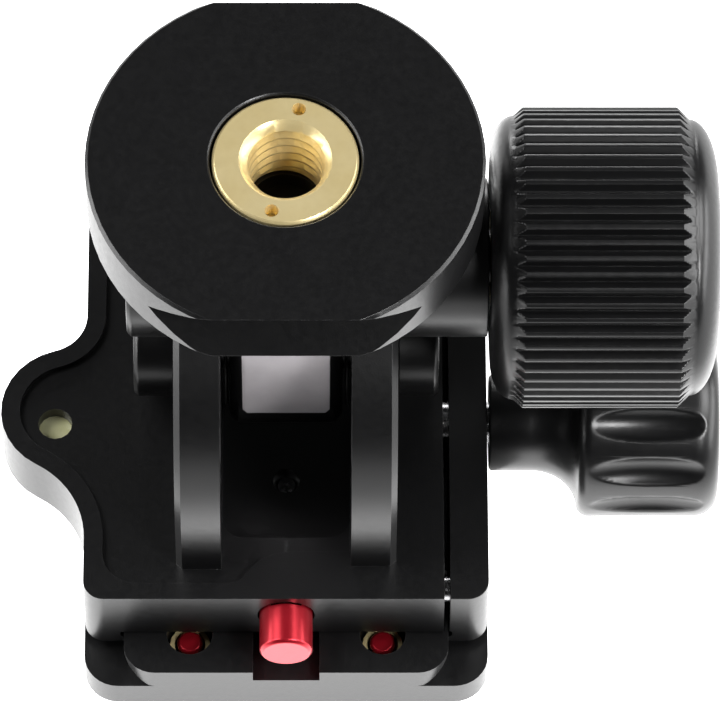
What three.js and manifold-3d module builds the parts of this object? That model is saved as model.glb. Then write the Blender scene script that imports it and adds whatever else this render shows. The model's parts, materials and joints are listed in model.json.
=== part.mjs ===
// A monopod tilt head with a dovetail clamp and its camera plate, standing on the plate's camera face.
// Millimetres, +Z up. The pivot axis runs along X, and the clamp's button end faces -Y.
import * as THREE from 'three';
import { mergeVertices } from 'three/addons/utils/BufferGeometryUtils.js';
import Module from 'manifold-3d';

const wasm = await Module();
wasm.setup();

// ---- driving dimensions -------------------------------------------------------------------------
const gap = 0.3; // clearance between pieces that touch on the real object
const through = 1; // how far a cutter runs past the face it opens

// camera plate
const padProud = 0.4;
const flangeHalfWidth = 23.7;
const flangeTop = 4.6;
const flangeCornerRadius = 4;
const plateHalfLength = 35;
const dovetailHalfWidth = 19;
const dovetailTop = 8.1;
const dovetailLand = 0.6;
const dovetailCornerRadius = 3.6;
const notchHalfWidth = 3.9;
const notchDepth = 2;
const notchLength = 24; // leaves the lock pin clear over the plate's whole slide
const stopPinOffset = 11.3;
const stopPinInset = 5.1;

// clamp
const clampHalfLength = 29.8;
const clampHalfWidth = 23.6;
const clampTop = dovetailTop + 8.8;
const clampCornerRadius = 2.4;
const lipBottom = dovetailTop - 2.1;
const seat = dovetailTop + gap;
const bodyRight = 18.4;
const jawGap = 0.7;
const lobeRadius = 8.2;
const lobeX = -25.4;
const lobeY = -4.9;
const lobeFarBlend = 5;
const lobeNearBlend = 11;
const vialX = -27.2;
const vialY = -6.3;
const pocketDepth = 0.8;
const pocketRim = 2.2;
const recessHalfLength = 21.4;
const recessFloor = clampTop - 5.6;
const screwY = -4.3;
const screwZ = dovetailTop + 4.6;
const guidePinY = [-26.4, 20];
const guidePinRadius = 1.5;

// ears and tilt hinge
const earInner = 7.55;
const earOuter = 12.8;
const earRadius = 25.5;
const earChamfer = 0.7;
const pivotZ = clampTop + 7.5;
const pivotRadius = 3;
const pivotHeadRadius = 6.2;
const pivotHeadEnd = 17.8;
const pivotHeadEdge = 0.5;
const pivotNutFloor = 1.2;
const boltOffset = 20.3;
const boltZ = pivotZ + boltOffset;
const boltRadius = 3.2;
const boltHeadRadius = 9.1;
const boltHeadEnd = 18.2;
const slotHalfWidth = 3.6;
const slotSweep = THREE.MathUtils.degToRad(80);

// base
const discRadius = 22.5;
const discTop = boltZ + 22.2;
const discThickness = 8.2;
const discBottom = discTop - discThickness;
const discFlat = 20.6;
const tongueHalfWidth = 6.55;
const tongueRadius = 9.3;
const insertRadius = 8.25;
const insertLength = 10;
const insertRecess = 0.05;
const mouthEdge = 0.25;
const threadRadius = 4.15;
const threadMouthRadius = 5.25;
const spannerHoleRadius = 0.8;
const spannerHoleCircle = 6.75;
const spannerHoleAngle = THREE.MathUtils.degToRad(13);

// knobs
const tiltKnobInner = 23.4;
const tiltKnobOuter = 49.4;
const tiltKnobRadius = 17.25;
const tiltKnobTeeth = 60;
const toothDepth = 0.7;
const clampKnobNeckRadius = 5.7;
const clampKnobRadius = 11.1;
const clampKnobHead = 33.6;
const clampKnobOuter = 50.8;
const clampKnobScallops = 12;

// lock button
const buttonRadius = 3.1;
const buttonZ = dovetailTop + 4.65;
const buttonFront = -34.8;
const lockPinY = -25.6;
const lockPinRadius = 1.5;
const buttonEnd = -24.4;
const buttonTravel = 2.4;
const lockPinTop = 13.4;
const lockBoreTop = 16.1;

// small inner pieces
const neckRadius = 11.5;
const neckHeight = 4;
const insertBottom = discTop - insertLength;
const screwRadius = 2.5;
const screwInner = 9.2;
const screwOuter = 40;
const clampKnobInner = clampHalfWidth + gap;
const guidePinInner = 9.4;
const guidePinOuter = 22.3;
const springBoreRadius = 2.75;
const springSeat = 14;
const jawSpringRadius = 2.2;
const jawSpringWire = 0.3;
const jawSpringTurns = 4;
const lockSpringRadius = 1.1;
const lockSpringWire = 0.25;
const lockSpringTurns = 3;
const springPlay = 0.6;
const vialRadius = 4.2;
const vialTop = clampTop - 2.9;
const vialRingInner = 3;
const vialRingThickness = 0.6;
const windowRadius = 2;
const recessScrewRadius = 1.3;
const recessScrewY = -11.3;
const boltEnd = 38;
const bushRadius = 5.4;
const bushEnd = 36.5;
const capRadius = 8.7;
const screwPocketFloor = 1.9;
const screwPocketHalfWidth = 6.6;
const screwPocketHalfLength = 13;
const screwSlotHalfWidth = 3.5;
const screwSlotHalfLength = 7;
const cameraScrewRadius = 3.1;
const cameraScrewHeadRadius = 6.1;
const cameraScrewHeadBottom = screwPocketFloor + 4.1;
const cameraScrewHeadTop = cameraScrewHeadBottom + 2;
const driverSlotHalfWidth = 0.8;
const driverSlotDepth = 1.1;
const stopPinRadius = 1.5;
const stopPinTop = 6;
const sleeveInner = stopPinRadius + gap;
const sleeveOuter = 2.4;
const sleeveTop = 5.2;
const stopPinY = -plateHalfLength + stopPinInset;
const stopHoleRadius = 2.7;
const stopHoleFloor = 2;
const padHalfWidth = 18;
const padHalfDepth = 5.2;
const padThickness = 1.1;
const padCornerRadius = 1.7;
const padCentres = [-20.5, 20.5];

const fine = 64;
const medium = 36;
const coarse = 16;

// ---- solids: meshes to manifolds and back -------------------------------------------------------
function signedVolume(points, triangles) {
  const corner = [new THREE.Vector3(), new THREE.Vector3(), new THREE.Vector3()];
  let volume = 0;
  for (let start = 0; start < triangles.length; start += 3) {
    corner.forEach((point, k) => point.fromArray(points, 3 * triangles[start + k]));
    volume += corner[0].dot(corner[1].clone().cross(corner[2])) / 6;
  }
  return volume;
}

function solid(geometry) {
  const bare = geometry.clone();
  bare.deleteAttribute('normal');
  bare.deleteAttribute('uv');
  const merged = mergeVertices(bare, 1e-4);
  const points = merged.getAttribute('position').array;
  const index = merged.getIndex().array;
  const triangles = [];
  for (let start = 0; start < index.length; start += 3) {
    const [a, b, c] = index.slice(start, start + 3);
    if (a !== b && b !== c && c !== a) triangles.push(a, b, c);
  }
  if (signedVolume(points, triangles) < 0) triangles.reverse();
  return new wasm.Manifold(new wasm.Mesh({
    numProp: 3,
    vertProperties: new Float32Array(points),
    triVerts: new Uint32Array(triangles),
  }));
}

function geometryOf(body) {
  const mesh = body.getMesh();
  const geometry = new THREE.BufferGeometry();
  geometry.setAttribute('position', new THREE.BufferAttribute(new Float32Array(mesh.vertProperties), 3));
  geometry.setIndex(new THREE.BufferAttribute(new Uint32Array(mesh.triVerts), 1));
  geometry.computeVertexNormals();
  return geometry;
}

const join = (first, ...others) => others.reduce((body, other) => body.add(other), first);
const cut = (first, ...others) => others.reduce((body, other) => body.subtract(other), first);

// ---- basic shapes -------------------------------------------------------------------------------
// A block between two opposite corners.
function block(low, high) {
  const size = high.map((value, k) => value - low[k]);
  const geometry = new THREE.BoxGeometry(...size);
  return solid(geometry.translate(...high.map((value, k) => (value + low[k]) / 2)));
}

// A turned piece: profile points are [radius, distance along the axis], and centre is a point on it.
function turned(axis, centre, profile, segments = medium) {
  const geometry = new THREE.LatheGeometry(profile.map(([r, h]) => new THREE.Vector2(r, h)), segments);
  if (axis === 'x') geometry.rotateZ(-Math.PI / 2);
  if (axis === 'z') geometry.rotateX(Math.PI / 2);
  return solid(geometry.translate(...centre));
}

function rod(axis, centre, radius, from, to, segments = medium, chamfer = 0) {
  const profile = [[0, from], [radius - chamfer, from]];
  if (chamfer) profile.push([radius, from + chamfer], [radius, to - chamfer]);
  profile.push([radius - chamfer, to], [0, to]);
  return turned(axis, centre, profile, segments);
}

function ring(axis, centre, inner, outer, from, to, segments = medium) {
  return turned(axis, centre, [[inner, from], [outer, from], [outer, to], [inner, to], [inner, from]], segments);
}

// A plan outline raised from one height to another.
function raised(shape, from, to, curveSegments = 4) {
  const geometry = new THREE.ExtrudeGeometry(shape, { depth: to - from, bevelEnabled: false, curveSegments });
  return solid(geometry.translate(0, 0, from));
}

// A side outline drawn with Y across and Z up, run along X; its rim is chamfered at both ends.
function across(shape, from, to, curveSegments = 12, chamfer = 0) {
  const geometry = new THREE.ExtrudeGeometry(shape, {
    depth: to - from - 2 * chamfer,
    bevelEnabled: chamfer > 0,
    bevelThickness: chamfer,
    bevelSize: chamfer,
    bevelOffset: -chamfer,
    bevelSegments: 1,
    curveSegments,
  });
  geometry.applyMatrix4(new THREE.Matrix4().makeBasis(
    new THREE.Vector3(0, 1, 0),
    new THREE.Vector3(0, 0, 1),
    new THREE.Vector3(1, 0, 0),
  ));
  return solid(geometry.translate(from + chamfer, 0, 0));
}

// An end outline drawn with X across and Z up, run along Y.
function lengthwise(points, from, to) {
  const shape = new THREE.Shape(points.map(([x, z]) => new THREE.Vector2(x, z)));
  const geometry = new THREE.ExtrudeGeometry(shape, { depth: to - from, bevelEnabled: false });
  geometry.applyMatrix4(new THREE.Matrix4().makeBasis(
    new THREE.Vector3(1, 0, 0),
    new THREE.Vector3(0, 0, 1),
    new THREE.Vector3(0, -1, 0),
  ));
  return solid(geometry.translate(0, to, 0));
}

function roundedRectangle(left, right, near, far, radius) {
  const shape = new THREE.Shape();
  shape.moveTo(left + radius, near);
  shape.lineTo(right - radius, near);
  shape.absarc(right - radius, near + radius, radius, -Math.PI / 2, 0);
  shape.absarc(right - radius, far - radius, radius, 0, Math.PI / 2);
  shape.absarc(left + radius, far - radius, radius, Math.PI / 2, Math.PI);
  shape.absarc(left + radius, near + radius, radius, Math.PI, 1.5 * Math.PI);
  return shape;
}

// A coil spring of round wire.
class Coil extends THREE.Curve {
  constructor(axis, centre, radius, from, to, turns) {
    super();
    Object.assign(this, { axis, centre, radius, from, to, turns });
  }

  getPoint(t, target = new THREE.Vector3()) {
    const angle = 2 * Math.PI * this.turns * t;
    const along = this.from + (this.to - this.from) * t;
    const [u, v] = [this.radius * Math.cos(angle), this.radius * Math.sin(angle)];
    const offset = this.axis === 'x' ? [along, u, v] : [u, v, along];
    return target.set(...offset.map((value, k) => value + this.centre[k]));
  }
}

function spring(axis, centre, radius, wire, from, to, turns) {
  const section = new THREE.Shape().absarc(0, 0, wire, 0, 2 * Math.PI);
  return solid(new THREE.ExtrudeGeometry(section, {
    extrudePath: new Coil(axis, centre, radius, from, to, turns),
    steps: 8 * turns,
    curveSegments: 3,
  }));
}

// ---- camera plate -------------------------------------------------------------------------------
function cameraPlate() {
  const flange = raised(
    roundedRectangle(-flangeHalfWidth, flangeHalfWidth, -plateHalfLength, plateHalfLength, flangeCornerRadius),
    padProud,
    flangeTop,
  );
  const landZ = dovetailTop - dovetailLand;
  const foot = dovetailHalfWidth - (landZ - flangeTop) - through;
  const flanks = lengthwise(
    [
      [-foot, flangeTop - through],
      [foot, flangeTop - through],
      [dovetailHalfWidth, landZ],
      [dovetailHalfWidth, dovetailTop],
      [-dovetailHalfWidth, dovetailTop],
      [-dovetailHalfWidth, landZ],
    ],
    -plateHalfLength,
    plateHalfLength,
  );
  const ends = raised(
    roundedRectangle(
      -dovetailHalfWidth,
      dovetailHalfWidth,
      -plateHalfLength,
      plateHalfLength,
      dovetailCornerRadius,
    ),
    padProud,
    dovetailTop + through,
  );
  const notch = block(
    [-notchHalfWidth, -plateHalfLength - through, dovetailTop - notchDepth],
    [notchHalfWidth, -plateHalfLength + notchLength, dovetailTop + through],
  );
  const longHole = (halfWidth, halfLength) => (
    roundedRectangle(-halfWidth, halfWidth, -halfLength, halfLength, halfWidth - 0.1)
  );
  const pocketPlan = longHole(screwPocketHalfWidth, screwPocketHalfLength);
  const screwPocket = raised(pocketPlan, screwPocketFloor, dovetailTop + through);
  const screwSlot = raised(longHole(screwSlotHalfWidth, screwSlotHalfLength), -through, dovetailTop);
  const padGrooves = padCentres.map((y) => raised(
    roundedRectangle(
      -padHalfWidth - gap,
      padHalfWidth + gap,
      y - padHalfDepth - gap,
      y + padHalfDepth + gap,
      padCornerRadius + gap,
    ),
    -through,
    padThickness + gap,
    4,
  ));
  const pinHoles = [-1, 1].map((side) => rod(
    'z',
    [side * stopPinOffset, stopPinY, 0],
    stopHoleRadius,
    stopHoleFloor,
    dovetailTop + through,
  ));
  return cut(join(flange, flanks.intersect(ends)), notch, screwPocket, screwSlot, ...padGrooves, ...pinHoles);
}

function rubberPad(y) {
  const [near, far] = [y - padHalfDepth, y + padHalfDepth];
  const outline = roundedRectangle(-padHalfWidth, padHalfWidth, near, far, padCornerRadius);
  return raised(outline, 0, padThickness, 4);
}

function cameraScrew() {
  const edge = 0.4;
  const body = turned('z', [0, 0, 0], [
    [0, gap],
    [cameraScrewRadius - edge, gap],
    [cameraScrewRadius, gap + edge],
    [cameraScrewRadius, cameraScrewHeadBottom],
    [cameraScrewHeadRadius - edge, cameraScrewHeadBottom],
    [cameraScrewHeadRadius, cameraScrewHeadBottom + edge],
    [cameraScrewHeadRadius, cameraScrewHeadTop - edge],
    [cameraScrewHeadRadius - edge, cameraScrewHeadTop],
    [0, cameraScrewHeadTop],
  ]);
  const slotReach = cameraScrewHeadRadius + through;
  return cut(body, block(
    [-driverSlotHalfWidth, -slotReach, cameraScrewHeadTop - driverSlotDepth],
    [driverSlotHalfWidth, slotReach, cameraScrewHeadTop + through],
  ));
}

// ---- clamp body ---------------------------------------------------------------------------------
// The left side of a plan outline, from the far end to the near one: straight, out round the level's
// lobe and back. Inset moves it towards the inside.
function addLobe(shape, inset) {
  const lobe = lobeRadius - inset;
  const side = (blendRadius) => {
    const blendX = -clampHalfWidth - blendRadius;
    const reach = Math.sqrt((blendRadius + lobeRadius) ** 2 - (blendX - lobeX) ** 2);
    return { blendX, reach, blend: blendRadius + inset, turn: Math.atan2(reach, lobeX - blendX) };
  };
  const far = side(lobeFarBlend);
  const near = side(lobeNearBlend);
  shape.absarc(far.blendX, lobeY + far.reach, far.blend, 0, -far.turn, true);
  shape.absarc(lobeX, lobeY, lobe, Math.PI - far.turn, Math.PI + near.turn, false);
  shape.absarc(near.blendX, lobeY - near.reach, near.blend, near.turn, 0, true);
}

function bodyOutline() {
  const [left, r] = [-clampHalfWidth, clampCornerRadius];
  const shape = new THREE.Shape();
  shape.moveTo(bodyRight, -clampHalfLength);
  shape.lineTo(bodyRight, clampHalfLength);
  shape.absarc(left + r, clampHalfLength - r, r, Math.PI / 2, Math.PI);
  addLobe(shape, 0);
  shape.absarc(left + r, -clampHalfLength + r, r, Math.PI, 1.5 * Math.PI);
  return shape;
}

// The shallow pocket follows the outline, goes round the left ear's foot and ends at the recess.
function pocketOutline() {
  const left = -clampHalfWidth + pocketRim;
  const far = clampHalfLength - 2.1;
  const [corner, bend, middle] = [4, 2, earRadius - 1.9];
  const turnX = -1.2;
  const shape = new THREE.Shape();
  shape.moveTo(earInner - 0.1, -middle);
  shape.lineTo(earInner - 0.1, middle);
  shape.lineTo(turnX + bend, middle);
  shape.quadraticCurveTo(turnX - bend, middle, turnX - 2 * bend, far - 0.5);
  shape.quadraticCurveTo(turnX - 2.3 * bend, far, turnX - 3.2 * bend, far);
  shape.absarc(left + corner, far - corner, corner, Math.PI / 2, Math.PI);
  addLobe(shape, pocketRim);
  shape.absarc(left + corner, -far + corner, corner, Math.PI, 1.5 * Math.PI);
  shape.lineTo(turnX - 3.2 * bend, -far);
  shape.quadraticCurveTo(turnX - 2.3 * bend, -far, turnX - 2 * bend, -far + 0.5);
  shape.quadraticCurveTo(turnX - bend, -middle, turnX + bend, -middle);
  return shape;
}

// The hook under each side of the clamp, as an end outline; side is -1 for the body, 1 for the jaw.
function lip(side, inner, top) {
  const landZ = dovetailTop - dovetailLand;
  const shoulder = dovetailHalfWidth + 1.4 * gap;
  const toe = shoulder - (landZ - lipBottom);
  const points = [
    [clampHalfWidth, lipBottom],
    [toe, lipBottom],
    [shoulder, landZ],
    [shoulder, seat],
    [inner, seat],
    [inner, top],
    [clampHalfWidth, top],
  ];
  return lengthwise(points.map(([x, z]) => [side * x, z]), -clampHalfLength, clampHalfLength);
}

function ear(side) {
  const outline = new THREE.Shape();
  outline.moveTo(-earRadius, clampTop - 2);
  outline.lineTo(earRadius, clampTop - 2);
  outline.absarc(0, pivotZ, earRadius, 0, Math.PI);
  const middle = (earInner + earOuter) / 2;
  const span = (from, to) => (side > 0 ? [from, to] : [-to, -from]);
  return join(
    across(outline, ...span(earInner, middle + 1), 18),
    across(outline, ...span(middle - 1, earOuter), 18, earChamfer),
  );
}

// The curved slot that the tilt bolt travels in, centred on the pivot.
function boltSlot() {
  const [start, end] = [Math.PI / 2 - slotSweep, Math.PI / 2 + slotSweep];
  const shape = new THREE.Shape();
  const endCentre = (angle) => [boltOffset * Math.cos(angle), pivotZ + boltOffset * Math.sin(angle)];
  shape.absarc(0, pivotZ, boltOffset + slotHalfWidth, start, end);
  shape.absarc(...endCentre(end), slotHalfWidth, end, end + Math.PI);
  shape.absarc(0, pivotZ, boltOffset - slotHalfWidth, end, start, true);
  shape.absarc(...endCentre(start), slotHalfWidth, start + Math.PI, start + 2 * Math.PI);
  return across(shape, -earOuter - through, earOuter + through, 9);
}

function clampBody() {
  const plan = bodyOutline();
  const deck = raised(plan, seat, clampTop, 6);
  const hook = lip(-1, dovetailHalfWidth, clampTop).intersect(raised(plan, lipBottom, clampTop, 6));
  const pocket = raised(pocketOutline(), clampTop - pocketDepth, clampTop + through, 6);
  const recess = raised(
    roundedRectangle(-earInner + 0.05, earInner - 0.05, -recessHalfLength, recessHalfLength, 2.5),
    recessFloor,
    clampTop + through,
  );
  const ears = [-1, 1].map(ear);
  const guideBores = guidePinY.flatMap((y) => [
    rod('x', [0, y, screwZ], guidePinRadius + gap, guidePinInner - gap, bodyRight + through, coarse),
    rod('x', [0, y, screwZ], springBoreRadius, springSeat, bodyRight + through, coarse),
  ]);
  const level = [
    rod('z', [vialX, vialY, 0], windowRadius, vialTop, clampTop + through, coarse),
    rod('z', [vialX, vialY, 0], vialRadius + gap, seat - through, vialTop + gap, medium),
  ];
  return cut(
    join(cut(join(deck, hook), pocket), ...ears),
    recess,
    boltSlot(),
    rod('x', [0, 0, pivotZ], pivotRadius + gap, -earOuter - through, earOuter + through),
    rod('x', [0, screwY, screwZ], screwRadius + gap, screwInner - gap, bodyRight + through, coarse),
    ...guideBores,
    rod('y', [0, 0, buttonZ], buttonRadius + 0.25, -clampHalfLength - through, -recessHalfLength - gap),
    rod('z', [0, lockPinY, 0], lockPinRadius + gap, seat - through, lockBoreTop, coarse),
    rod('z', [0, recessScrewY, 0], recessScrewRadius + gap, seat - through, recessFloor + through, coarse),
    ...level,
  );
}

function clampJaw() {
  const plan = roundedRectangle(
    -clampHalfWidth,
    clampHalfWidth,
    -clampHalfLength,
    clampHalfLength,
    clampCornerRadius,
  );
  const inner = bodyRight + jawGap;
  const bar = lip(1, inner, clampTop).intersect(raised(plan, lipBottom, clampTop));
  return cut(
    bar,
    rod('x', [0, screwY, screwZ], screwRadius + gap, inner - through, clampHalfWidth + through, coarse),
    ...guidePinY.map((y) => rod(
      'x',
      [0, y, screwZ],
      guidePinRadius + gap,
      inner - through,
      guidePinOuter + gap,
      coarse,
    )),
  );
}

// ---- base ---------------------------------------------------------------------------------------
function discBody() {
  const edge = 0.35;
  const disc = turned('z', [0, 0, 0], [
    [0, discBottom],
    [discRadius - edge, discBottom],
    [discRadius, discBottom + edge],
    [discRadius, discTop - edge],
    [discRadius - edge, discTop],
    [0, discTop],
  ], fine);
  const middle = (discTop + discBottom) / 2;
  const half = discThickness / 2;
  const grooves = [-1, 1].map((side) => {
    const groove = new THREE.Shape();
    groove.moveTo(side * (discFlat - half), middle);
    groove.lineTo(side * (discFlat + through), middle + half + through);
    groove.lineTo(side * (discRadius + through), middle + half + through);
    groove.lineTo(side * (discRadius + through), middle - half - through);
    groove.lineTo(side * (discFlat + through), middle - half - through);
    return across(groove, -discRadius, discRadius);
  });
  return cut(disc, ...grooves);
}

function base() {
  const neck = rod('z', [0, 0, 0], neckRadius, discBottom - neckHeight, discBottom + through, medium, 1);
  const plan = roundedRectangle(-tongueHalfWidth, tongueHalfWidth, -tongueRadius, tongueRadius, 2);
  const tongue = raised(plan, pivotZ, discBottom + through, 3);
  const toe = rod('x', [0, 0, pivotZ], tongueRadius, -tongueHalfWidth, tongueHalfWidth, medium, 1);
  const mouth = turned('z', [0, 0, 0], [
    [0, discTop - mouthEdge],
    [insertRadius + gap, discTop - mouthEdge],
    [insertRadius + gap + mouthEdge + through, discTop + through],
    [0, discTop + through],
  ], fine);
  return cut(
    join(discBody(), neck, tongue, toe),
    mouth,
    rod('z', [0, 0, 0], insertRadius + gap, insertBottom - gap, discTop + through, fine),
    rod('z', [0, 0, 0], threadRadius, insertBottom - 3, discTop, medium),
    rod('x', [0, 0, boltZ], boltRadius + gap, -tongueHalfWidth - through, tongueHalfWidth + through),
    rod('x', [0, 0, pivotZ], pivotRadius + gap, -tongueHalfWidth - through, tongueHalfWidth + through),
  );
}

function threadInsert() {
  const top = discTop - insertRecess;
  const mouth = threadMouthRadius - threadRadius;
  const body = turned('z', [0, 0, 0], [
    [threadRadius, insertBottom],
    [insertRadius, insertBottom],
    [insertRadius, top - 0.3],
    [insertRadius - 0.3, top],
    [threadMouthRadius, top],
    [threadRadius, top - mouth],
    [threadRadius, insertBottom],
  ], fine);
  const spannerHoles = [0, Math.PI].map((half) => {
    const angle = Math.PI / 2 - spannerHoleAngle + half;
    const centre = [spannerHoleCircle * Math.cos(angle), spannerHoleCircle * Math.sin(angle), 0];
    return rod('z', centre, spannerHoleRadius, top - 2, top + through, 16);
  });
  return cut(body, ...spannerHoles);
}

function frictionDisc(side) {
  const inner = tongueHalfWidth + gap;
  const outer = earInner - gap;
  return ring('x', [0, 0, pivotZ], pivotRadius + gap, tongueRadius - 2, side * inner, side * outer);
}

function tiltBolt() {
  const edge = 0.5;
  return turned('x', [0, 0, boltZ], [
    [0, -boltHeadEnd],
    [boltHeadRadius - edge, -boltHeadEnd],
    [boltHeadRadius, edge - boltHeadEnd],
    [boltHeadRadius, -earOuter - gap],
    [boltRadius, -earOuter - gap],
    [boltRadius, boltEnd],
    [0, boltEnd],
  ]);
}

// ---- knobs --------------------------------------------------------------------------------------
// The tilt knob's ribbed band: flat-topped teeth with straight sides, as an outline round the axis.
function ribbedOutline() {
  const shape = new THREE.Shape();
  const pitch = (2 * Math.PI) / tiltKnobTeeth;
  const land = 0.3;
  for (let tooth = 0; tooth < tiltKnobTeeth; tooth += 1) {
    [[-land, 0], [land, 0], [land + 0.1, toothDepth], [0.9 - land, toothDepth]].forEach(([part, depth]) => {
      const angle = (tooth + part) * pitch;
      const radius = tiltKnobRadius - depth;
      const place = [radius * Math.cos(angle), radius * Math.sin(angle)];
      if (tooth === 0 && part === -land) shape.moveTo(...place);
      else shape.lineTo(...place);
    });
  }
  return shape;
}

function tiltKnob() {
  const root = tiltKnobRadius - toothDepth;
  const ribStart = tiltKnobInner + 2.6;
  const ribEnd = tiltKnobOuter - 4.6;
  const core = turned('x', [0, 0, boltZ], [
    [0, tiltKnobInner],
    [root - 4, tiltKnobInner],
    [root - 1.6, tiltKnobInner + 0.5],
    [root - 0.4, tiltKnobInner + 1.5],
    [root, ribStart],
    [root, ribEnd],
    [root - 0.5, ribEnd + 1.8],
    [root - 2, tiltKnobOuter - 1],
    [root - 4.2, tiltKnobOuter],
    [0, tiltKnobOuter],
  ]);
  const ribs = across(ribbedOutline(), 0, ribEnd - ribStart).translate([ribStart, 0, boltZ]);
  return cut(
    join(core, ribs),
    rod('x', [0, 0, boltZ], bushRadius + gap, tiltKnobInner - through, bushEnd + gap),
    rod('x', [0, 0, boltZ], boltRadius + gap, tiltKnobInner, boltEnd + gap),
    rod('x', [0, 0, boltZ], capRadius + gap, tiltKnobOuter - 1 - gap, tiltKnobOuter + through),
  );
}

function clampKnob() {
  const flare = 3.2;
  const core = turned('x', [0, screwY, screwZ], [
    [0, clampKnobInner],
    [clampKnobNeckRadius, clampKnobInner],
    [clampKnobNeckRadius, clampKnobHead - flare],
    [clampKnobNeckRadius + 1.2, clampKnobHead - 1.2],
    [clampKnobRadius - 2, clampKnobHead - 0.4],
    [clampKnobRadius - 0.6, clampKnobHead + 0.6],
    [clampKnobRadius, clampKnobHead + 2.2],
    [clampKnobRadius, clampKnobOuter - 3],
    [clampKnobRadius - 0.8, clampKnobOuter - 1],
    [clampKnobRadius - 2.4, clampKnobOuter],
    [0, clampKnobOuter],
  ]);
  const scallops = Array.from({ length: clampKnobScallops }, (_, k) => {
    const angle = (2 * Math.PI * (k + 0.5)) / clampKnobScallops;
    const reach = clampKnobRadius + 1.3;
    const centre = [0, screwY + reach * Math.cos(angle), screwZ + reach * Math.sin(angle)];
    const [start, end, r] = [clampKnobHead + 1.6, clampKnobOuter - 1.8, 2.3];
    return turned('x', centre, [[0, start], [r * 0.75, start + 0.8], [r, start + 2.2], [r, end - 2.2],
      [r * 0.75, end - 0.8], [0, end]], 12);
  });
  return cut(
    core,
    ...scallops,
    rod('x', [0, screwY, screwZ], screwRadius + gap, clampKnobInner - through, screwOuter + gap, coarse),
  );
}

// ---- lock ---------------------------------------------------------------------------------------
// The button's inner end is a fork that straddles the lock pin.
function lockButton() {
  const front = buttonFront;
  const edge = 0.35;
  const body = turned('y', [0, 0, buttonZ], [
    [0, front],
    [buttonRadius - edge, front],
    [buttonRadius, front + edge],
    [buttonRadius, buttonEnd],
    [0, buttonEnd],
  ]);
  const forkStart = lockPinY - lockPinRadius - gap - buttonTravel;
  const room = buttonRadius + through;
  return cut(body, block(
    [-lockPinRadius - gap, forkStart, buttonZ - room],
    [lockPinRadius + gap, buttonEnd + through, buttonZ + room],
  ));
}

// ---- assembly -----------------------------------------------------------------------------------
const finishes = {
  blackAnodised: { color: 0x1d1d1f, roughness: 0.42, metalness: 0.6 },
  redAnodised: { color: 0xc8102e, roughness: 0.3, metalness: 0.7 },
  brass: { color: 0xd7c896, roughness: 0.25, metalness: 1 },
  steel: { color: 0xb9bcc0, roughness: 0.3, metalness: 1 },
  spirit: { color: 0xd8d6a4, roughness: 0.1, metalness: 0 },
  rubber: { color: 0x202020, roughness: 0.9, metalness: 0 },
  nylon: { color: 0x262626, roughness: 0.6, metalness: 0 },
};

// The frame's origin is under the middle of the whole object, so the clamp's own middle is off it in X.
const leftReach = lobeRadius - lobeX;
const middleX = (clampKnobOuter - leftReach) / 2;
const head = new THREE.Group();
head.position.x = -middleX;

function place(name, finish, body) {
  const mesh = new THREE.Mesh(geometryOf(body), new THREE.MeshStandardMaterial(finishes[finish]));
  mesh.name = name;
  head.add(mesh);
}

place('camera_plate', 'blackAnodised', cameraPlate());
place('camera_screw', 'steel', cameraScrew());
padCentres.forEach((y, k) => place(`rubber_pad_${['front', 'rear'][k]}`, 'rubber', rubberPad(y)));
for (const [name, side] of [['left', -1], ['right', 1]]) {
  const centre = [side * stopPinOffset, stopPinY, 0];
  const floor = stopHoleFloor + gap;
  place(`stop_pin_${name}`, 'redAnodised', rod('z', centre, stopPinRadius, floor, stopPinTop, coarse, 0.3));
  place(`pin_sleeve_${name}`, 'brass', ring('z', centre, sleeveInner, sleeveOuter, floor, sleeveTop, coarse));
  place(`friction_disc_${name}`, 'nylon', frictionDisc(side));
}

place('clamp_body', 'blackAnodised', clampBody());
const vialCentre = [vialX, vialY, 0];
const vialBottom = seat + vialRingThickness + gap;
place('level_vial', 'spirit', rod('z', vialCentre, vialRadius, vialBottom, vialTop, medium, 0.3));
place('level_ring', 'steel', ring('z', vialCentre, vialRingInner, vialRadius, seat, seat + vialRingThickness));
place('recess_screw', 'steel', rod(
  'z',
  [0, recessScrewY, 0],
  recessScrewRadius,
  seat + gap,
  recessFloor - 1.3,
  coarse,
  0.2,
));
place('pivot_bolt', 'blackAnodised', turned('x', [0, 0, pivotZ], [
  [0, -pivotHeadEnd],
  [pivotHeadRadius - pivotHeadEdge, -pivotHeadEnd],
  [pivotHeadRadius, pivotHeadEdge - pivotHeadEnd],
  [pivotHeadRadius, -earOuter - gap],
  [pivotRadius, -earOuter - gap],
  [pivotRadius, pivotHeadEnd - pivotNutFloor],
  [0, pivotHeadEnd - pivotNutFloor],
]));
place('pivot_nut', 'blackAnodised', turned('x', [0, 0, pivotZ], [
  [pivotRadius + gap, earOuter + gap],
  [pivotHeadRadius, earOuter + gap],
  [pivotHeadRadius, pivotHeadEnd - pivotHeadEdge],
  [pivotHeadRadius - pivotHeadEdge, pivotHeadEnd],
  [0, pivotHeadEnd],
  [0, pivotHeadEnd - pivotNutFloor + gap],
  [pivotRadius + gap, pivotHeadEnd - pivotNutFloor + gap],
  [pivotRadius + gap, earOuter + gap],
]));

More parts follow.
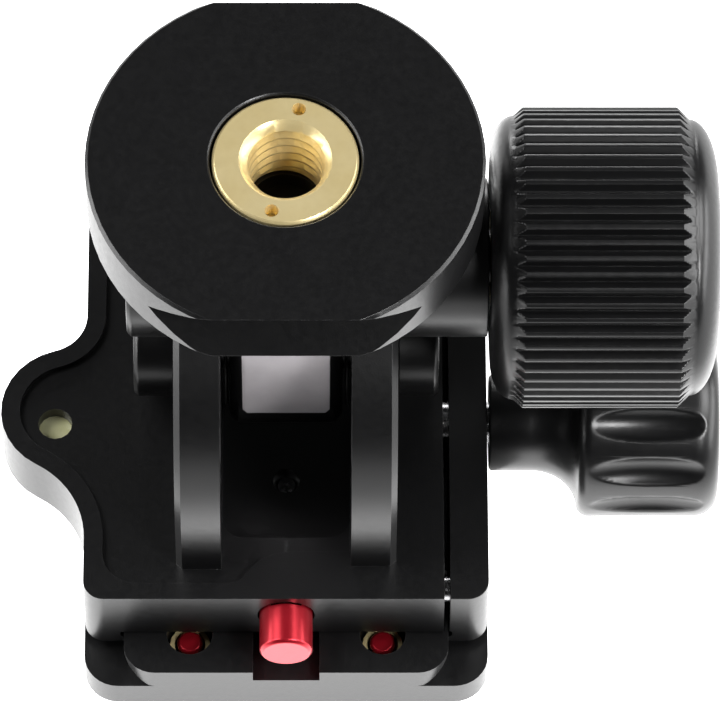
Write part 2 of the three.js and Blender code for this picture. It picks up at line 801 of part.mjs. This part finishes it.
place('clamp_jaw', 'blackAnodised', clampJaw());
guidePinY.forEach((y, k) => {
  const name = ['front', 'rear'][k];
  const centre = [0, y, screwZ];
  place(`guide_pin_${name}`, 'steel', rod('x', centre, guidePinRadius, guidePinInner, guidePinOuter, coarse, 0.3));
  place(`jaw_spring_${name}`, 'steel', spring(
    'x',
    centre,
    jawSpringRadius,
    jawSpringWire,
    springSeat + springPlay,
    bodyRight + 0.2,
    jawSpringTurns,
  ));
});
place('clamp_knob', 'blackAnodised', clampKnob());
place('clamp_screw', 'steel', rod('x', [0, screwY, screwZ], screwRadius, screwInner, screwOuter, coarse, 0.4));
place('base', 'blackAnodised', base());
place('thread_insert', 'brass', threadInsert());
place('tilt_bolt', 'blackAnodised', tiltBolt());
place('tilt_collar', 'blackAnodised', ring(
  'x',
  [0, 0, boltZ],
  boltRadius + gap,
  boltHeadRadius,
  earOuter + gap,
  tiltKnobInner - gap,
));
place('tilt_knob', 'blackAnodised', tiltKnob());
place('knob_bush', 'brass', ring('x', [0, 0, boltZ], boltRadius + gap, bushRadius, tiltKnobInner, bushEnd, coarse));
place('tilt_knob_cap', 'blackAnodised', rod(
  'x',
  [0, 0, boltZ],
  capRadius,
  tiltKnobOuter - 1,
  tiltKnobOuter,
  medium,
  0.2,
));

place('lock_button', 'redAnodised', lockButton());
place('lock_pin', 'steel', rod('z', [0, lockPinY, 0], lockPinRadius, 6.6, lockPinTop, coarse, 0.3));
place('lock_spring', 'steel', spring(
  'z',
  [0, lockPinY, 0],
  lockSpringRadius,
  lockSpringWire,
  lockPinTop + springPlay,
  lockBoreTop - 0.35,
  lockSpringTurns,
));

export default head;
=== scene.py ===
# A monopod tilt head on its camera plate, in Blender: metres, in the frame's own axes.
# The CAD pieces give every place and size; this script adds fine edges, knurling, a thread and finishes.
import json
from math import ceil, cos, hypot, pi, radians, sin, sqrt

import bmesh
import bpy
from mathutils import Matrix, Vector


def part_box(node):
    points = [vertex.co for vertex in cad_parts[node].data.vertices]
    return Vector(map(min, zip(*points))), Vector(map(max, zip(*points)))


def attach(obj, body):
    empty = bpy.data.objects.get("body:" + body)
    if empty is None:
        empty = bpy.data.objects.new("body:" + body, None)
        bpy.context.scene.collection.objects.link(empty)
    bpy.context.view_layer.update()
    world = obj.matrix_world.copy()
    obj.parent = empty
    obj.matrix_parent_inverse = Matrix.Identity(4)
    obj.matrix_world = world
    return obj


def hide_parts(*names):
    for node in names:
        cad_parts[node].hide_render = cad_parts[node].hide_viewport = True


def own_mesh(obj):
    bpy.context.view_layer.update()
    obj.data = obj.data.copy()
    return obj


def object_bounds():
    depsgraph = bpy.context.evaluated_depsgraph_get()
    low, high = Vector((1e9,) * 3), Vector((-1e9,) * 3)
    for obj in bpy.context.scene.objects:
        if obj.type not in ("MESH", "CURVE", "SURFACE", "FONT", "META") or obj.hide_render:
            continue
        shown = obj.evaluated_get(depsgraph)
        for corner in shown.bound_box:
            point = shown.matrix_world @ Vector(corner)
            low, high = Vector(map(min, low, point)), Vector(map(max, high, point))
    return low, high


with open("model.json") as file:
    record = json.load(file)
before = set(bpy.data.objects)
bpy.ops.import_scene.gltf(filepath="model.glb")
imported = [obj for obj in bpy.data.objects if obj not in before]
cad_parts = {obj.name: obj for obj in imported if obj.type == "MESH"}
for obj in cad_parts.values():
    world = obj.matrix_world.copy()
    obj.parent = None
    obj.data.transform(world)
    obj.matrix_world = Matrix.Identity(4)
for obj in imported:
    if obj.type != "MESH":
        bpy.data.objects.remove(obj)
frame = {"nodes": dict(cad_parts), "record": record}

cad_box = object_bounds()
scene = bpy.context.scene
MM = 0.001

# ---- driving dimensions: metres where they say MM, and otherwise millimetres -------------------------
edge_width = 0.16 * MM
small_edge_width = 0.08 * MM
small_nodes = (
    "recess_screw",
    "stop_pin_left",
    "stop_pin_right",
    "pin_sleeve_left",
    "pin_sleeve_right",
    "level_ring",
)
smooth_angle = radians(28)
fine_smooth_angle = radians(40)
# The painted edge highlight: its width, and the share of it that noise lets through.
edge_highlight_width = 0.12 * MM
edge_highlight_share = 0.5
clearance = 0.3

thread_pitch = 1.5875
thread_depth = 0.55
thread_crest = 4.2
thread_flank = 1.15
thread_rows = 10
thread_columns = 96
mouth_radius = 5.25
insert_edge = 0.3
spanner_radius = 0.8
spanner_circle = 6.75
spanner_depth = 2
spanner_angle = radians(77)

tilt_knob_teeth = 60
groove_depth = 0.95
groove_floor = 0.05
groove_flank = 0.3
knob_inner_face = 12.2
knob_inner_round = 2.6
knob_inner_step = 1.1
knob_outer_chamfer = 1.4
knob_dome_length = 3.2
knob_dome_drop = 6.8
knob_dome_steps = 14
tilt_knob_step = 0.45
columns_per_tooth = 12

neck_radius = 5.7
flare_start = 5.0
flare_length = 5.3
flare_rise = 4.4
neck_chamfer = 0.3
shoulder_length = 1.6
shoulder_drop = 1.3
head_round_length = 3
head_round_drop = 2.4
clamp_knob_steps = 12
clamp_knob_step = 0.35
columns_per_scallop = 24
scallops = 12
scallop_radius = 2.6
scallop_depth = 1.05
scallop_half_length = 7.1
scallop_offset = 8.1

# ---- floor and room: metres --------------------------------------------------------------------------
floor_reach = 3
floor_tone = 0.6
floor_drop = 0.0002
glow_strength = 2.45
glow_edge = 0.25
glow_start = 0.055
glow_end = 0.085
room_strength = 0.015

# ---- view ------------------------------------------------------------------------------------------
view_azimuth = radians(-0.9)
view_elevation = radians(61.2)
view_roll = radians(0.8)
view_distance = 0.826
view_target = Vector((0.0, -0.0035, 0.0282))
view_lens = 354.7


# ---- meshes ----------------------------------------------------------------------------------------
def new_piece(name, mesh, body, slot, *nodes):
    """An object in the scene that rides on a body and stands for CAD nodes."""
    piece = bpy.data.objects.new(name, mesh)
    scene.collection.objects.link(piece)
    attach(piece, body)
    if nodes:
        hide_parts(*nodes)
    return piece


def finish_edges(piece, width, angle=smooth_angle):
    """Rounds the sharp edges and shades the rest smooth."""
    bevel = piece.modifiers.new("edges", "BEVEL")
    bevel.width = width
    bevel.segments = 2
    bevel.limit_method = "ANGLE"
    bevel.angle_limit = angle
    bevel.use_clamp_overlap = True
    weighted = piece.modifiers.new("normals", "WEIGHTED_NORMAL")
    weighted.keep_sharp = True


def clean_mesh(name, vertices, faces):
    """A welded mesh with its flat regions merged into single faces, shaded smooth."""
    mesh = bpy.data.meshes.new(name)
    mesh.from_pydata(vertices, [], faces)
    shape = bmesh.new()
    shape.from_mesh(mesh)
    bmesh.ops.remove_doubles(shape, verts=shape.verts, dist=0.002 * MM)
    bmesh.ops.dissolve_limit(shape, angle_limit=radians(1), verts=shape.verts, edges=shape.edges)
    bmesh.ops.recalc_face_normals(shape, faces=shape.faces)
    for face in shape.faces:
        face.smooth = True
    shape.to_mesh(mesh)
    shape.free()
    return mesh


def body_of(node):
    return next(body for body, nodes in frame["record"]["behaviour"]["bodies"].items() if node in nodes)


def slot_of(node):
    return next(part["material_slot"] for part in frame["record"]["subparts"] if part["node"] == node)


def refine(node, width):
    """A copy of a CAD node with rounded edges."""
    source = frame["nodes"][node].data
    mesh = clean_mesh(
        node + "_finished",
        [vertex.co[:] for vertex in source.vertices],
        [polygon.vertices[:] for polygon in source.polygons],
    )
    piece = new_piece(node + "_finished", mesh, body_of(node), slot_of(node), node)
    finish_edges(piece, width)
    return piece


def skin(axis, centre, path, columns, shape=None, closed=False):
    """Points and faces of a skin round an axis. The path is (place, radius) points, and shape(place,
    radius, angle) may change a radius; a closed path joins its end to its start."""
    angles = [2 * pi * column / columns for column in range(columns)]
    vertices, faces = [], []
    for place, radius in path:
        for angle in angles:
            reach = shape(place, radius, angle) if shape else radius
            along = place * MM
            across, up = reach * MM * cos(angle), reach * MM * sin(angle)
            offset = (along, across, up) if axis == "x" else (across, up, along)
            vertices.append(centre + Vector(offset))
    steps = len(path) if closed else len(path) - 1
    for i in range(steps):
        near, far = i * columns, (i + 1) % len(path) * columns
        for j in range(columns):
            k = (j + 1) % columns
            faces.append((near + j, near + k, far + k, far + j))
    return vertices, faces


def divided(path, step):
    """The same path with points added so that none are more than step apart."""
    points = [path[0]]
    for (start, first), (end, second) in zip(path, path[1:]):
        count = max(1, ceil(hypot(end - start, second - first) / step))
        points += [
            (start + (end - start) * k / count, first + (second - first) * k / count)
            for k in range(1, count + 1)
        ]
    return points


def round_corner(centre, radii, start, end, count=8):
    """Points of an elliptical arc in a path, with its angles in degrees."""
    turns = [radians(start + (end - start) * k / count) for k in range(count + 1)]
    return [(centre[0] + radii[0] * cos(turn), centre[1] + radii[1] * sin(turn)) for turn in turns]


def middle(node):
    low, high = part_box(node)
    return (low + high) / 2


# ---- tilt knob -------------------------------------------------------------------------------------
# Places are millimetres from the knob's inner face.
def tilt_knob():
    low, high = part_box("tilt_knob")
    length = (high.x - low.x) / MM
    radius = (high.z - low.z) / 2 / MM
    bush_low, bush_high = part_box("knob_bush")
    cap_low, cap_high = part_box("tilt_knob_cap")
    bore = (bush_high.z - bush_low.z) / 2 / MM + clearance
    bore_end = (bush_high.x - low.x) / MM + clearance
    cap = (cap_high.z - cap_low.z) / 2 / MM + clearance
    cap_floor = (cap_low.x - low.x) / MM - clearance
    root = radius - groove_depth
    outline = (
        [(bore_end, 0), (bore_end, bore), (0, bore), (0, knob_inner_face)]
        + round_corner(
            (knob_inner_round, knob_inner_face),
            (knob_inner_round, root - knob_inner_face),
            180,
            90,
        )
        + [
            (knob_inner_round + knob_inner_step, radius),
            (length - knob_dome_length - knob_outer_chamfer, radius),
        ]
        + round_corner(
            (length - knob_dome_length, radius - knob_outer_chamfer - knob_dome_drop),
            (knob_dome_length, knob_dome_drop),
            90,
            0,
            knob_dome_steps,
        )
        + [(length, cap), (cap_floor, cap), (cap_floor, 0)]
    )

    def ribbed(place, reach, angle):
        phase = angle * tilt_knob_teeth / (2 * pi) % 1
        depth = groove_depth * max(0, 1 - max(0, abs(phase - 0.5) - groove_floor) / groove_flank)
        return min(reach, radius - depth)

    centre = Vector((low.x, middle("tilt_knob").y, middle("tilt_knob").z))
    columns = tilt_knob_teeth * columns_per_tooth
    points, faces = skin("x", centre, divided(outline, tilt_knob_step), columns, ribbed)
    mesh = clean_mesh("tilt_knob_ribbed", points, faces)
    piece = new_piece("tilt_knob_ribbed", mesh, "tilt_knob", "black_anodised", "tilt_knob")
    finish_edges(piece, small_edge_width, fine_smooth_angle)
    return piece


# ---- clamp knob ------------------------------------------------------------------------------------
def clamp_knob():
    low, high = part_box("clamp_knob")
    length = (high.x - low.x) / MM
    radius = (high.z - low.z) / 2 / MM
    screw_low, screw_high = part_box("clamp_screw")
    bore = (screw_high.z - screw_low.z) / 2 / MM + clearance
    bore_end = (screw_high.x - low.x) / MM + clearance
    shoulder = flare_start + flare_length + shoulder_length
    outline = (
        [(bore_end, 0), (bore_end, bore), (0, bore)]
        + [(0, neck_radius - neck_chamfer), (neck_chamfer, neck_radius)]
        + round_corner(
            (flare_start, neck_radius + flare_rise),
            (flare_length, flare_rise),
            270,
            355,
            clamp_knob_steps,
        )
        + round_corner((shoulder, radius - shoulder_drop), (shoulder_length, shoulder_drop), 180, 90)
        + round_corner(
            (length - head_round_length, radius - head_round_drop),
            (head_round_length, head_round_drop),
            90,
            0,
            clamp_knob_steps,
        )
        + [(length, 0)]
    )
    cut_middle = length - scallop_offset

    def scalloped(place, reach, angle):
        depth = scallop_depth * (1 - ((place - cut_middle) / scallop_half_length) ** 2)
        if depth <= 0:
            return reach
        circle = radius + scallop_radius - depth
        pitch = 2 * pi / scallops
        off = (angle + pitch / 2) % pitch - pitch / 2
        side = circle * sin(off)
        if abs(side) >= scallop_radius:
            return reach
        return min(reach, circle * cos(off) - sqrt(scallop_radius ** 2 - side ** 2))

    centre = Vector((low.x, middle("clamp_knob").y, middle("clamp_knob").z))
    columns = scallops * columns_per_scallop
    points, faces = skin("x", centre, divided(outline, clamp_knob_step), columns, scalloped)
    mesh = clean_mesh("clamp_knob_scalloped", points, faces)
    return new_piece("clamp_knob_scalloped", mesh, "clamp_knob", "black_anodised", "clamp_knob")


# ---- threaded insert -------------------------------------------------------------------------------
def drill(piece, centres, radius, depth):
    """Cuts round holes down from the top of a piece."""
    cutters = []
    for centre in centres:
        points, faces = skin("z", centre, [(-depth, 0), (-depth, radius), (1, radius), (1, 0)], 24)
        cutter = bpy.data.objects.new("cutter", clean_mesh("cutter", points, faces))
        scene.collection.objects.link(cutter)
        cutters.append(cutter)
        hole = piece.modifiers.new("hole", "BOOLEAN")
        hole.operation = "DIFFERENCE"
        hole.object = cutter
    bpy.context.view_layer.update()
    evaluated = piece.evaluated_get(bpy.context.evaluated_depsgraph_get())
    piece.data = bpy.data.meshes.new_from_object(evaluated)
    piece.modifiers.clear()
    for cutter in cutters:
        bpy.data.objects.remove(cutter)


def thread_insert():
    low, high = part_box("thread_insert")
    height = (high.z - low.z) / MM
    radius = (high.x - low.x) / 2 / MM
    rows = ceil(height / thread_pitch * thread_rows)
    bore = [(height * row / rows, thread_crest) for row in range(rows + 1)]
    outside = [(height, radius - insert_edge), (height - insert_edge, radius), (0, radius)]

    def threaded(place, reach, angle):
        if reach > mouth_radius:
            return reach
        phase = (place / thread_pitch + angle / (2 * pi)) % 1
        groove = thread_crest + thread_depth * max(0, 1 - abs(2 * phase - 1) * thread_flank)
        return max(groove, mouth_radius - (height - place))

    centre = Vector((middle("thread_insert").x, middle("thread_insert").y, low.z))
    points, faces = skin("z", centre, bore + outside, thread_columns, threaded, closed=True)
    piece = bpy.data.objects.new("thread_insert_cut", clean_mesh("thread_insert_cut", points, faces))
    scene.collection.objects.link(piece)
    top = Vector((centre.x, centre.y, high.z))
    turn = Vector((cos(spanner_angle), sin(spanner_angle), 0)) * spanner_circle * MM
    drill(piece, [top + turn, top - turn], spanner_radius, spanner_depth)
    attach(piece, "head")
    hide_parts("thread_insert")
    finish_edges(piece, small_edge_width, fine_smooth_angle)
    return piece


# ---- materials -------------------------------------------------------------------------------------
class Nodes:
    """A material's node tree, with short calls for the nodes it uses."""

    def __init__(self, name):
        self.material = bpy.data.materials.new(name)
        self.material.use_nodes = True
        self.tree = self.material.node_tree
        self.shader = self.tree.nodes["Principled BSDF"]
        self.place = self.add("ShaderNodeTexCoord").outputs["Object"]

    def add(self, kind, **values):
        node = self.tree.nodes.new(kind)
        for name, value in values.items():
            setattr(node, name, value)
        return node

    def link(self, source, target):
        self.tree.links.new(source, target)

    def noise(self, size, detail=3.0, roughness=0.55):
        """Noise whose features are about size millimetres across."""
        mapping = self.add("ShaderNodeMapping")
        mapping.inputs["Scale"].default_value = [1 / (size * MM)] * 3
        self.link(self.place, mapping.inputs["Vector"])
        noise = self.add("ShaderNodeTexNoise")
        noise.inputs["Scale"].default_value = 1
        noise.inputs["Detail"].default_value = detail
        noise.inputs["Roughness"].default_value = roughness
        self.link(mapping.outputs["Vector"], noise.inputs["Vector"])
        return noise.outputs["Fac"]

    def remap(self, source, low, high, start=0.3, end=0.7):
        node = self.add("ShaderNodeMapRange")
        for name, value in (("From Min", start), ("From Max", end), ("To Min", low), ("To Max", high)):
            node.inputs[name].default_value = value
        self.link(source, node.inputs["Value"])
        return node.outputs["Result"]

    def mix(self, factor, first, second):
        """A blend of two colours; sockets 6 and 7, and output 2, are the node's colour ones."""
        node = self.add("ShaderNodeMix", data_type="RGBA")
        self.link(factor, node.inputs["Factor"])
        for socket, value in ((node.inputs[6], first), (node.inputs[7], second)):
            if isinstance(value, tuple):
                socket.default_value = (*value, 1)
            else:
                self.link(value, socket)
        return node.outputs[2]

    def multiply(self, first, second):
        node = self.add("ShaderNodeMath", operation="MULTIPLY", use_clamp=True)
        self.link(first, node.inputs[0])
        self.link(second, node.inputs[1])
        return node.outputs["Value"]

    def edges(self, width):
        """About one along edges and nought elsewhere, from how far a rounded normal leans."""
        rounded = self.add("ShaderNodeBevel", samples=4)
        rounded.inputs["Radius"].default_value = width
        plain = self.add("ShaderNodeNewGeometry")
        dot = self.add("ShaderNodeVectorMath", operation="DOT_PRODUCT")
        self.link(rounded.outputs["Normal"], dot.inputs[0])
        self.link(plain.outputs["Normal"], dot.inputs[1])
        return self.remap(dot.outputs["Value"], 1, 0, 0.86, 0.99)

    def bump(self, height, distance):
        node = self.add("ShaderNodeBump")
        node.inputs["Distance"].default_value = distance
        node.inputs["Strength"].default_value = 1
        self.link(height, node.inputs["Height"])
        self.link(node.outputs["Normal"], self.shader.inputs["Normal"])

    def set(self, **values):
        for name, value in values.items():
            socket = self.shader.inputs[name.replace("_", " ")]
            if isinstance(value, (float, int)):
                socket.default_value = value
            else:
                self.link(value, socket)


def metal(name, base, tint, edge_highlight_colour, metallic, rough, grain, grain_depth):
    """A blasted or turned metal: broad colour change, fine grain, and a painted edge highlight, a lighter
    colour in patches along edges.
    """
    nodes = Nodes(name)
    colour = nodes.mix(nodes.remap(nodes.noise(5, 5), 0, 1), base, tint)
    # Painted edge highlight: a lighter colour along edges, masked by the bevel normal and broken into
    # patches by noise.
    edge_highlight_patches = nodes.edges(edge_highlight_width), nodes.remap(nodes.noise(1.3, 5, 0.7), 0, edge_highlight_share, 0.42, 0.62)
    painted_edge_highlight = nodes.multiply(*edge_highlight_patches)
    grain_noise = nodes.noise(grain, 2, 0.5)
    nodes.set(
        Base_Color=nodes.mix(painted_edge_highlight, colour, edge_highlight_colour),
        Roughness=nodes.remap(nodes.noise(0.7, 5), rough - 0.02, rough + 0.03),
        Metallic=metallic,
    )
    nodes.bump(grain_noise, grain_depth)
    return nodes


def black_anodised():
    nodes = metal(
        "black_anodised",
        base=(0.0034, 0.0034, 0.0037),
        tint=(0.0044, 0.0044, 0.0047),
        # Colour of the painted edge highlight.
        edge_highlight_colour=(0.07, 0.07, 0.072),
        metallic=0.1,
        rough=0.31,
        grain=0.16,
        grain_depth=0.008 * MM,
    )
    nodes.set(IOR=1.6)
    return nodes.material


def red_anodised():
    nodes = metal(
        "red_anodised",
        base=(0.50, 0.005, 0.018),
        tint=(0.58, 0.01, 0.026),
        # Colour of the painted edge highlight.
        edge_highlight_colour=(0.85, 0.25, 0.25),
        metallic=0.75,
        rough=0.3,
        grain=0.14,
        grain_depth=0.006 * MM,
    )
    nodes.set(Coat_Weight=0.5, Coat_Roughness=0.3)
    return nodes.material


def brass():
    nodes = metal(
        "brass",
        base=(0.82, 0.66, 0.32),
        tint=(0.88, 0.73, 0.39),
        # Colour of the painted edge highlight.
        edge_highlight_colour=(0.97, 0.88, 0.64),
        metallic=0.6,
        rough=0.3,
        grain=0.2,
        grain_depth=0.006 * MM,
    )
    return nodes.material


def steel():
    nodes = metal(
        "steel",
        base=(0.5, 0.5, 0.52),
        tint=(0.6, 0.6, 0.61),
        # Colour of the painted edge highlight.
        edge_highlight_colour=(0.8, 0.8, 0.8),
        metallic=1.0,
        rough=0.26,
        grain=0.12,
        grain_depth=0.004 * MM,
    )
    return nodes.material


def soft_plastic(name, base, tint, rough, grain_depth):
    nodes = Nodes(name)
    nodes.set(
        Base_Color=nodes.mix(nodes.remap(nodes.noise(3, 4), 0, 1), base, tint),
        Roughness=nodes.remap(nodes.noise(1.1, 4), rough - 0.06, rough + 0.06),
    )
    nodes.bump(nodes.noise(0.22, 3), grain_depth)
    return nodes.material


def vial_material():
    nodes = Nodes("level_vial")
    nodes.set(
        Base_Color=nodes.mix(nodes.remap(nodes.noise(2.5, 2), 0, 1), (0.66, 0.66, 0.34), (0.76, 0.75, 0.46)),
        Roughness=nodes.remap(nodes.noise(1.4, 3), 0.04, 0.1),
        Coat_Weight=0.6,
    )
    return nodes.material


def painted_light_flat():
    """The finish of the tongue's front and back: a light grey copy of the metal, painted light for the light
    these faces catch.
    """
    nodes = metal(
        "painted_light_flat",
        # Light grey base and tint: painted light, a lit copy of the finish on the tongue's flat faces.
        base=(0.60, 0.565, 0.59),
        tint=(0.68, 0.65, 0.67),
        # Colour of the painted edge highlight.
        edge_highlight_colour=(0.75, 0.75, 0.75),
        metallic=0.35,
        rough=0.55,
        grain=0.16,
        grain_depth=0.008 * MM,
    )
    return nodes.material


finishes = {
    "black_anodised": black_anodised(),
    "red_anodised": red_anodised(),
    "brass": brass(),
    "steel": steel(),
    "nylon": soft_plastic("nylon", (0.014, 0.014, 0.014), (0.022, 0.022, 0.022), 0.5, 0.006 * MM),
    "rubber": soft_plastic("rubber", (0.02, 0.02, 0.021), (0.034, 0.034, 0.035), 0.8, 0.02 * MM),
    "level_vial": vial_material(),
}


def paint(piece, slot):
    piece.data.materials.clear()
    piece.data.materials.append(finishes[slot])


def paint_tongue_light(piece):
    """Gives the tongue's front and back a lighter finish of their own, painted light for the light they
    catch, from the pivot bolt to the tilt bolt.
    """
    piece.data.materials.append(painted_light_flat())
    low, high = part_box("pivot_bolt")[1].z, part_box("tilt_bolt")[1].z
    for polygon in piece.data.polygons:
        if abs(polygon.normal.y) > 0.99 and low < polygon.center.z < high:
            polygon.material_index = 1


def lock_spring():
    """A copy of the lock spring with a mesh of its own."""
    piece = new_piece(
        "lock_spring_coil",
        frame["nodes"]["lock_spring"].data.copy(),
        body_of("lock_spring"),
        slot_of("lock_spring"),
        "lock_spring",
    )
    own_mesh(piece)
    return piece


# ---- the object: the springs in jaw_springs keep their CAD shape -------------------------------
remade = {
    "tilt_knob": tilt_knob(),
    "clamp_knob": clamp_knob(),
    "thread_insert": thread_insert(),
    "lock_spring": lock_spring(),
}
jaw_springs = ("jaw_spring_front", "jaw_spring_rear")
for node, thing in frame["nodes"].items():
    slot = slot_of(node)
    if node in remade:
        paint(remade[node], slot)
    elif node in jaw_springs:
        for material_slot in thing.material_slots:
            material_slot.material = finishes[slot]
    else:
        width = small_edge_width if node in small_nodes else edge_width
        piece = refine(node, width)
        paint(piece, slot)
        if node == "base":
            # Painted light: the tongue's front and back get a lighter copy of the finish.
            paint_tongue_light(piece)


# ---- floor -----------------------------------------------------------------------------------------
def floor():
    """A pale floor that glows near the object and fades to plain grey farther away."""
    mesh = bpy.data.meshes.new("floor")
    mesh.from_pydata([(-1, -1, 0), (1, -1, 0), (1, 1, 0), (-1, 1, 0)], [], [(0, 1, 2, 3)])
    thing = bpy.data.objects.new("floor", mesh)
    scene.collection.objects.link(thing)
    thing.scale = (floor_reach, floor_reach, 1)
    thing.location.z = cad_box[0].z - floor_drop
    nodes = Nodes("floor")
    nodes.shader.inputs["Base Color"].default_value = (floor_tone, floor_tone, floor_tone, 1)
    nodes.set(Roughness=0.9)
    nodes.shader.inputs["Emission Color"].default_value = (1, 1, 1, 1)
    spread = nodes.add("ShaderNodeVectorMath", operation="LENGTH")
    position = nodes.add("ShaderNodeNewGeometry").outputs["Position"]
    nodes.link(position, spread.inputs[0])
    glow = nodes.remap(spread.outputs["Value"], glow_strength, glow_edge, glow_start, glow_end)
    nodes.link(glow, nodes.shader.inputs["Emission Strength"])
    mesh.materials.append(nodes.material)


floor()

# ---- light -----------------------------------------------------------------------------------------
scene.world = bpy.data.worlds.new("room")
scene.world.use_nodes = True
room = scene.world.node_tree.nodes["Background"]
room.inputs["Color"].default_value = (1, 1, 1, 1)
room.inputs["Strength"].default_value = room_strength
aim = Vector((0, 0, middle("clamp_body").z))


def softbox(name, azimuth, elevation, distance, width, height, power):
    """A soft rectangular light; azimuth is measured like the view's, from the front towards the right."""
    lamp = bpy.data.lights.new(name, "AREA")
    lamp.shape = "RECTANGLE"
    lamp.size = width
    lamp.size_y = height
    lamp.energy = power
    thing = bpy.data.objects.new(name, lamp)
    scene.collection.objects.link(thing)
    turn, rise = radians(azimuth), radians(elevation)
    away = Vector((sin(turn) * cos(rise), -cos(turn) * cos(rise), sin(rise)))
    thing.location = aim + away * distance
    thing.rotation_euler = (-away).to_track_quat("-Z", "Y").to_euler()


softbox("left_key", -97, 48, 0.7, 0.4, 0.35, 3.2)
softbox("right_key", 97, 48, 0.7, 0.4, 0.35, 3.2)
softbox("right_front", 42, 45, 0.5, 0.12, 0.12, 1.5)
softbox("back", 178, 10, 0.5, 0.4, 0.14, 1.4)
softbox("left_low", -88, 12, 0.5, 0.5, 0.16, 1.6)
softbox("right_low", 88, 12, 0.5, 0.5, 0.16, 1.6)

# ---- camera ----------------------------------------------------------------------------------------
away = Vector((
    sin(view_azimuth) * cos(view_elevation),
    -cos(view_azimuth) * cos(view_elevation),
    sin(view_elevation),
))
level = Vector((cos(view_azimuth), sin(view_azimuth), 0))
rise = away.cross(level)
right = level * cos(view_roll) + rise * sin(view_roll)
up = rise * cos(view_roll) - level * sin(view_roll)
camera = bpy.data.objects.new("camera", bpy.data.cameras.new("camera"))
scene.collection.objects.link(camera)
camera.data.lens = view_lens
camera.data.sensor_width = 36
camera.data.clip_start = 0.01
camera.matrix_world = Matrix.Translation(view_target + away * view_distance) @ Matrix(
    (right, up, away)
).transposed().to_4x4()
scene.camera = camera
scene.view_settings.view_transform = "Standard"
